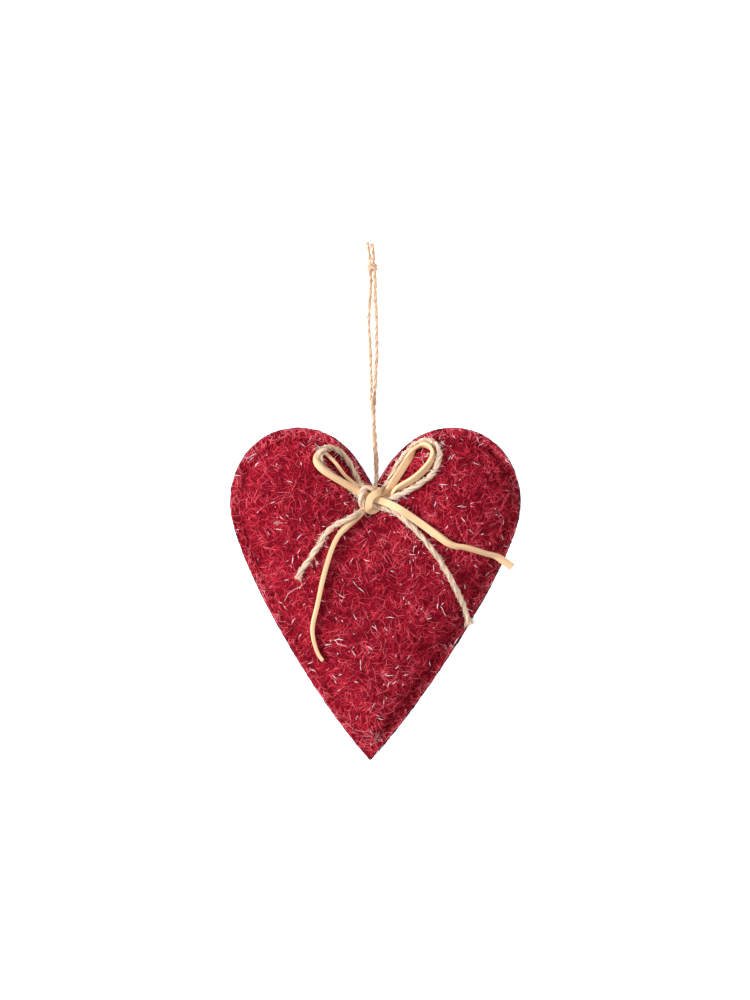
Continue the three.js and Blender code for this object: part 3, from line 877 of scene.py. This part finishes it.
def fibrePiece(name, material, slot, lines, radii, shades):  # lines holds each fibre's stations
    count, stations = lines.shape[:2]
    holder = fibreTemplate(stations)
    shape = np.array([vert.co for vert in holder.data.vertices]) / mm
    many = holder.modifiers.new("many", "ARRAY")
    many.count = count
    many.use_relative_offset = False
    graph = bpy.context.evaluated_depsgraph_get()
    mesh = bpy.data.meshes.new_from_object(holder.evaluated_get(graph))
    mesh.name = name
    bpy.data.objects.remove(holder)
    station = np.round(shape[:, 2] * (stations - 1)).astype(int)
    along = unit(np.gradient(lines, axis=1))
    side = unit(np.cross([0, 0, 1], along))
    up = np.cross(along, side)
    across = (side[:, station] * shape[:, :1] + up[:, station] * shape[:, 1:2]) * radii[:, None, None]
    mesh.vertices.foreach_set("co", ((lines[:, station] + across) * mm).ravel())
    ends = np.empty(len(mesh.loops), int)
    mesh.loops.foreach_get("vertex_index", ends)
    fibre, corner = np.divmod(ends, len(shape))
    shade = 0.03 + 0.92 * shades[fibre] + 0.01 * shape[corner, 0]  # kept off the map's ends
    for layer in list(mesh.uv_layers):
        mesh.uv_layers.remove(layer)
    layer = mesh.uv_layers.new(name="OFBake")
    layer.uv.foreach_set("vector", np.column_stack([shade, shape[corner, 2]]).ravel())
    mesh.update()
    dress(meshPiece(name, mesh, material), slot)


def scatter(rng, count, least, gaps=0.0):  # places spread over the heart, fewer where it has gaps
    found = np.empty((0, 2))
    while len(found) < count:
        points = rng.uniform(Field.low, Field.low + Field.size, (count, 2))
        kept = rng.uniform(0, 1, count) < 1 - gaps * (0.5 - 0.8 * gapLumps.at(points))
        found = np.concatenate([found, points[kept & (inside.at(points) > least)]])
    return found[:count]


def onward(heading, step):
    return np.column_stack([np.cos(heading), np.sin(heading)]) * step[:, None]


def between(rng, limits, count, power=1):
    return limits[0] + (limits[1] - limits[0]) * rng.uniform(0, 1, count) ** power


swirls = [smoothNoise(felting["swirlSize"], 51), smoothNoise(felting["swirlSize"], 52)]
shadeLumps = smoothNoise(felting["shadeSize"], 53)
gapLumps = smoothNoise(felting["gapSize"], 54)


def layFibres(name, surface, facing, seed):
    rng = np.random.default_rng(seed)
    layer = layers[name]
    count, stations = layer["count"], 7
    place = scatter(rng, count, 0.1, layer["gaps"])
    step = between(rng, layer["length"], count, 1.5) / (stations - 1)
    heading = np.arctan2(swirls[0].at(place), swirls[1].at(place)) + rng.normal(0, layer["turn"], count)
    share, times = felting["curlier"]
    bend = rng.normal(0, layer["curl"], count) * np.where(rng.uniform(0, 1, count) < share, times, 1)
    limit = -layer["outside"] * rng.uniform(0, 1, count) ** 3 + 0.1
    flat = []
    for _ in range(stations):
        inward = unit(inside.slope(place))
        drawnIn = panel["frontInset"] * rimShare(inward) if facing > 0 else 0
        away = limit + drawnIn - inside.at(place)
        place = place + inward * np.clip(away, 0, 3)[:, None]
        flat.append(place)
        heading = heading + (bend + rng.normal(0, layer["curl"] * 2, count)) * step
        place = place + onward(heading, step)
    flat = np.stack(flat, axis=1)
    along = np.linspace(0, 1, stations)
    lift = between(rng, layer["lift"], count)[:, None] + layer["arch"] * (
        np.sin(along * math.pi) * rng.uniform(0.2, 1, (count, 1)) - 0.35)
    share, times = felting["standing"]
    lift = lift + (rng.uniform(0, 1, (count, 1)) < share) * layer["arch"] * times * along ** 2
    points = flat.reshape(-1, 2)
    slope = surface.slope(points) * facing
    slope /= np.maximum(1, np.linalg.norm(slope, axis=1, keepdims=True) / felting["steepest"])
    normal = unit(np.column_stack([-slope, np.ones(len(slope))]))
    outward = np.clip(-inside.at(points), 0, 3)
    heights = surface.at(points) * facing - outward * 0.5
    lines = np.column_stack([points, heights]) + normal * lift.reshape(-1, 1)
    lines[:, 2] *= facing
    if facing > 0:
        lines[:, 2] = np.minimum(lines[:, 2], cover.at(lines[:, :2]))
    else:
        lines[:, 2] = np.maximum(lines[:, 2], felting["footing"])
    middles = flat[:, stations // 2]
    # shadeLumps gives random patches of tone, and the gap term paints shade into the sparse spots
    lumps = felting["shadeTone"] * shadeLumps.at(middles) + felting["gapPaintedShade"] * gapLumps.at(middles)
    # painted shade darkens the fibres in the seam's groove
    lumps = lumps + felting["seamPaintedShade"] * valley(middles)
    # painted light brightens the fibres on the flat flange
    flangeLightMask = np.clip((heart["flangeWidth"] + 0.3 - inside.at(middles)) / 1.5, 0, 1)
    lumps = lumps + felting["flangePaintedLight"] * flangeLightMask
    shade = np.clip(between(rng, layer["shade"], count) + lumps, 0, 1)
    radii = between(rng, layer["radius"], count)
    fibrePiece("fibres_" + name, fibre, "felt", lines.reshape(count, stations, 3), radii, shade)


def edgeFibres(layer, seed):  # on the cut edges of the two layers of felt
    rng = np.random.default_rng(seed)
    count, stations = layer["count"], 6
    loop = outline(1200)
    out = unit(np.roll(loop, 1, axis=0) - np.roll(loop, -1, axis=0))[:, ::-1] * (-1, 1)
    spacing = np.linalg.norm(loop[1] - loop[0])
    start = rng.uniform(0, len(loop), count)
    tilt = rng.normal(0, 0.35, count)
    step = between(rng, layer["length"], count) / (stations - 1)
    along = np.arange(stations) - (stations - 1) / 2
    ride = (start[:, None] + along * (step * np.cos(tilt) / spacing)[:, None]) % len(loop)
    low = backHigh.z - heart["feltThickness"]
    high = frontLow.z + heart["feltThickness"]
    height = rng.uniform(low + 0.1, high - 0.1, count)[:, None] + along * (step * np.sin(tilt))[:, None]
    height = np.clip(height, low, high)
    proud = rng.uniform(-0.25, 0.25, (count, 1)) + rng.uniform(0, 0.3, (count, stations))
    index = ride.astype(int)
    drawnIn = panel["frontInset"] * rimShare(-out)[index]
    proud = proud - drawnIn * np.clip((height - backHigh.z) / 0.6, 0, 1)
    lines = np.dstack([loop[index] + out[index] * proud[..., None], height])
    radii = between(rng, layer["radius"], count)
    fibrePiece("fibres_edge", shadedEdgeFibre, "felt", lines, radii, between(rng, layer["shade"], count))


fibre = fibreFinish("felt_fibre", [(0, (0.11, 0.0003, 0.006)), (0.4, (0.51, 0.012, 0.038)),
                                   (0.7, (0.93, 0.054, 0.1)), (1, (1, 0.27, 0.33))], 0.9, 0.08)
# the cut edges' fibres are painted dark grey-red: painted shade on the felt's side walls and in the edge's
# shadow
shadedEdgeFibre = fibreFinish("felt_edge_painted_shade", [(0, (0.04, 0.012, 0.02)), (1, (0.22, 0.05, 0.08))], 0.8, 0.25)
cover = coverField(("lace_left", "lace_right", "twine_right", "twine_left", "twine_wrap", "hanging_front"))
frontSurface = surfaceField(frontFelt, 1)
backSurface = surfaceField(backFelt, -1)
print("felt surfaces read")
for seed, name in enumerate(("under", "middle", "top"), 61):
    layFibres(name, frontSurface, 1, seed)
layFibres("back", backSurface, -1, 64)
edgeFibres(layers["edge"], 65)
print("felt fibres laid")

# Loose fibres of the twines

fuzzes = {
    "close": {"perMm": 6, "stations": 6, "length": (1.5, 4), "radius": (0.07, 0.11), "rise": 0.45,
              "curl": 0.12, "shade": (0, 1), "clear": 0.6},
    "whiskers": {"perMm": 1.8, "stations": 8, "length": (1.5, 5), "radius": (0.08, 0.115), "rise": 1.7,
                 "curl": 0.2, "shade": (0.6, 1), "clear": 1.2},
}
fuzzPlace = 0.44  # where it starts, as a share of the twine's diameter


def twineFibres(name, fuzz, path, kind, seed):
    rng = np.random.default_rng(seed)
    count = int(path.length * (fuzz["perMm"] * kind["fuzzShare"]))
    most = fuzz["rise"] * kind["fuzzShare"]
    stations = fuzz["stations"]
    parts = np.linspace(0, 1, stations)
    length = between(rng, fuzz["length"], count, 1.6)[:, None]
    forward = np.where(rng.uniform(0, 1, (count, 1)) < 0.5, -1, 1)
    lay = rng.uniform(0.1, 1, (count, 1)) if most > 1 else 1
    travel = rng.uniform(0, path.length, (count, 1)) + forward * lay * length * parts
    travel = np.clip(travel, 0, path.length)
    last = len(path.along) - 1
    index = np.clip(np.round(travel / path.length * last).astype(int), 0, last)
    angle = rng.uniform(0, math.tau, (count, 1)) + math.tau * travel / kind["pitch"]
    angle = angle + rng.normal(0, 0.5, (count, 1)) * parts
    rise = most * rng.uniform(0, 1, (count, 1)) ** 1.5 * parts ** rng.uniform(0.6, 1.6, (count, 1))
    curl = rng.normal(0, fuzz["curl"], (count, stations, 3)).cumsum(axis=1)
    far = kind["width"] * fuzzPlace + rng.uniform(-0.08, 0.08, (count, 1)) + rise
    ahead = travel - path.along[index]
    lines = path.beside(index, ahead, np.cos(angle) * far, np.sin(angle) * far) + curl * parts[:, None]
    lines[..., 2] = np.maximum(lines[..., 2], 0.08)
    felted = frontSurface.at(lines[..., :2]) + fuzz["clear"]
    buried = (inside.at(lines[..., :2]) > 0) & (lines[..., 2] < felted)
    lines[..., 2] = np.where(buried, felted, lines[..., 2])
    radii = between(rng, fuzz["radius"], count)
    fibrePiece(name, kind["fuzz"], kind["slot"], lines, radii, between(rng, fuzz["shade"], count))


for seed, name in ((80, "twine_right"), (81, "twine_left"), (82, "twine_wrap"), (90, "hanging_front"),
                   (91, "hanging_back"), (92, "hanging_knot")):
    for fuzzName, fuzz in fuzzes.items():
        twineFibres(name + "_" + fuzzName, fuzz, *cords[name][1:], seed)
print("twine fibres laid")

# Frayed cut ends

frays = {  # cord, count, back, reach, half and spread
    "right": ("twine_left", 80, 4, 1.3, 1, 3),
    "left": ("twine_right", 46, 1.6, 0.9, 1, 1.7),
    "front": ("hanging_front", 22, 1.5, 0.8, 0.6, 0.9),
    "back": ("hanging_back", 22, 1.5, 0.8, 0.6, 0.9),
}


def frayedEnd(name, seed, cord, count, back, reach, half, spread):  # fans out past the cord's far end
    rng = np.random.default_rng(seed)
    _, path, kind = cords[cord]
    stations = 7
    parts = np.linspace(0, 1, stations)
    start = path.length - back * rng.uniform(0.6, 1, (count, 1))
    end = path.length + reach * rng.uniform(-0.6, 1, (count, 1))
    travel = start + (end - start) * parts
    index = np.clip(np.searchsorted(path.along, travel), 0, len(path.along) - 1)
    wide = rng.uniform(-1, 1, (count, 1))
    high = rng.uniform(-0.4, 1, (count, 1)) * np.sqrt(1 - wide ** 2)
    flare = parts ** 1.6
    across = wide * (half + (spread - half) * flare)
    above = high * half * (1 + 0.3 * flare)
    curl = rng.normal(0, 0.06, (count, stations, 3)).cumsum(axis=1)
    lines = path.beside(index, np.maximum(travel - path.length, 0), across, above) + curl
    lines[..., 2] = np.maximum(lines[..., 2], 0.1)
    radii = rng.uniform(0.06, 0.11, count)
    shades = rng.uniform(0, 1, count) ** 0.8
    fibrePiece("frayed_" + name, kind["fuzz"], kind["slot"], lines, radii, shades)


for seed, (name, row) in enumerate(frays.items(), 100):
    frayedEnd(name, seed, *row)
print("cut ends frayed")

# Tufts: stray whiskers of the twine, and paler wool in the felt

tufts = {  # place, count, length, lift, spread, radius and curl
    "whiskers_left": ((-23.9, 61.2), 10, (2, 6.5), (1.5, 3.5), (0.7, 0.7), (0.06, 0.1), 0.08),
    "whiskers_right": ((26.8, 62.8), 9, (2, 5), (1, 2.5), (0.8, 0.8), (0.06, 0.1), 0.08),
    "whiskers_loop": ((19.5, 56.5), 7, (3, 6), (1, 1.6), (1.5, 1.5), (0.06, 0.09), 0.03),
    "fluff": ((-40.2, 29.5), 16, (0.6, 1.8), (0.8, 1.2), (1.9, 0.5), (0.07, 0.1), 0.1),
    "star": ((0.2, -59.4), 40, (1, 3.2), (0.8, 1.4), (0.9, 0.9), (0.05, 0.09), 0.1),
}
starSpokes = [(-8.9, -56.1), (-7.3, -59.1), (-4.8, -62.3), (3.9, -54.8)]
strays = {  # single long fibres, by their places
    "twine_end": ((-31.2, 6.2), (-30.2, 4.9), (-30.6, 3.3), (-33, 2.5), (-36.1, 0.4), (-37.8, -3.3)),
    "twine_side": ((-26.6, 16.2), (-24.6, 14.4), (-23.9, 12.1), (-23.6, 14.2), (-24.6, 12.9), (-24.2, 10.9)),
    "loop_side": ((-13.6, 58.9), (-16.4, 57.2), (-17.6, 55.1), (-19.4, 55.6)),
    "knot": ((-3.4, 34.2), (-4.3, 32.4), (-2.6, 31.9), (-1.6, 33.2)),
}
strayLift = 1.9
strayRadius = 0.09
strayShade = 0.6


def tuft(name, seed, place, count, lengths, lifts, spread, radii, curl):
    rng = np.random.default_rng(seed)
    stations = 8
    spokes = starSpokes if name == "star" else []
    start = np.array(place) + rng.normal(0, 0.5, (count, 2)) * spread
    heading = rng.uniform(0, math.tau, count)
    length = between(rng, lengths, count, 1.4)
    for index, spoke in enumerate(spokes):
        away = spoke - start[index]
        heading[index] = math.atan2(away[1], away[0])
        length[index] = np.linalg.norm(away)
    bend = rng.normal(0, curl, count)
    bend[:len(spokes)] = 0
    step = length / (stations - 1)
    flat = [start]
    for _ in range(stations - 1):
        flat.append(flat[-1] + onward(heading, step))
        heading = heading + (bend + rng.normal(0, curl, count)) * step
    flat = np.stack(flat, axis=1)
    lift = between(rng, lifts, count)[:, None] * (0.6 + 0.4 * np.linspace(0, 1, stations))
    lines = np.dstack([flat, frontSurface.at(flat) + lift])
    finish, slot = (whisker, "bow_twine") if name.startswith("whiskers") else (paleWool, "felt")
    fibrePiece(name, finish, slot, lines, between(rng, radii, count), rng.uniform(0.3, 1, count))


def strayFibres():
    flat = np.stack([evenly(np.array(places), 12) for places in strays.values()])
    lines = np.dstack([flat, frontSurface.at(flat) + strayLift])
    radii = np.full(len(lines), strayRadius)
    fibrePiece("strays", whisker, "bow_twine", lines, radii, np.full(len(lines), strayShade))


whisker = fibreFinish("whisker", [(0, (1, 0.78, 0.72)), (1, (1, 0.95, 0.92))], 0.6, 0.4)
paleWool = fibreFinish("pale_wool", [(0, (0.75, 0.3, 0.34)), (1, (0.95, 0.75, 0.76))], 0.75, 0.3)
for seed, (name, row) in enumerate(tufts.items(), 110):
    tuft(name, seed, *row)
strayFibres()
print("tufts placed")

# Tinsel in the felt

tinsel = {
    "length": (0.7, 4.2),
    "width": (0.1, 0.2),
    "lift": 1.1,
    "bottom": 0.15,
    "clusters": ((10.2, 39.0), (-14.7, -19.1), (15, 18)),
    "clusterSize": 9,
    "clusterSpread": 2.5,
    "stations": 4,
}


def layTinsel(name, count, surface, facing, seed):
    rng = np.random.default_rng(seed)
    size, stations = tinsel["clusterSize"], tinsel["stations"]
    place = scatter(rng, count, 0.4)
    for index, middle in enumerate(tinsel["clusters"]):
        spots = middle + rng.normal(0, tinsel["clusterSpread"], (size, 2))
        place[index * size:(index + 1) * size] = spots
    angle = rng.uniform(0, math.tau, count)
    length = between(rng, tinsel["length"], count, 1.4)
    bend = rng.normal(0, 0.3, count)
    parts = np.linspace(-0.5, 0.5, stations)
    turned = angle[:, None] + bend[:, None] * parts
    flat = place[:, None] + np.dstack([np.cos(turned), np.sin(turned)]) * (length[:, None] * parts)[..., None]
    tilt = (rng.normal(0, 0.12, count) * length)[:, None] * parts
    lift = tinsel["lift"] * rng.uniform(0.7, 1.3, count)[:, None]
    heights = surface.at(flat) * facing + lift + tilt
    heights = np.minimum(heights, cover.at(flat) if facing > 0 else -tinsel["bottom"])
    lines = np.dstack([flat, heights * facing])
    radii = between(rng, tinsel["width"], count)
    fibrePiece(name, silver, "felt", lines, radii, rng.uniform(0, 1, count))


# the tinsel glows a little: a painted glint on its strips
silver = fibreFinish("tinsel", ((0, (0.5, 0.4, 0.45)), (0.35, (0.9, 0.9, 0.95)), (1, (1, 1, 1))), 0.3, 0.7,
                     paintedGlint=0.35)
layTinsel("tinsel_front", 260, frontSurface, 1, 71)
layTinsel("tinsel_back", 90, backSurface, -1, 72)
print("tinsel laid")

placeCamera()
placeLight("key", **studio["key"])
placeLight("fill", **studio["fill"])
lightWorld()
placeFloor()
print("studio ready")
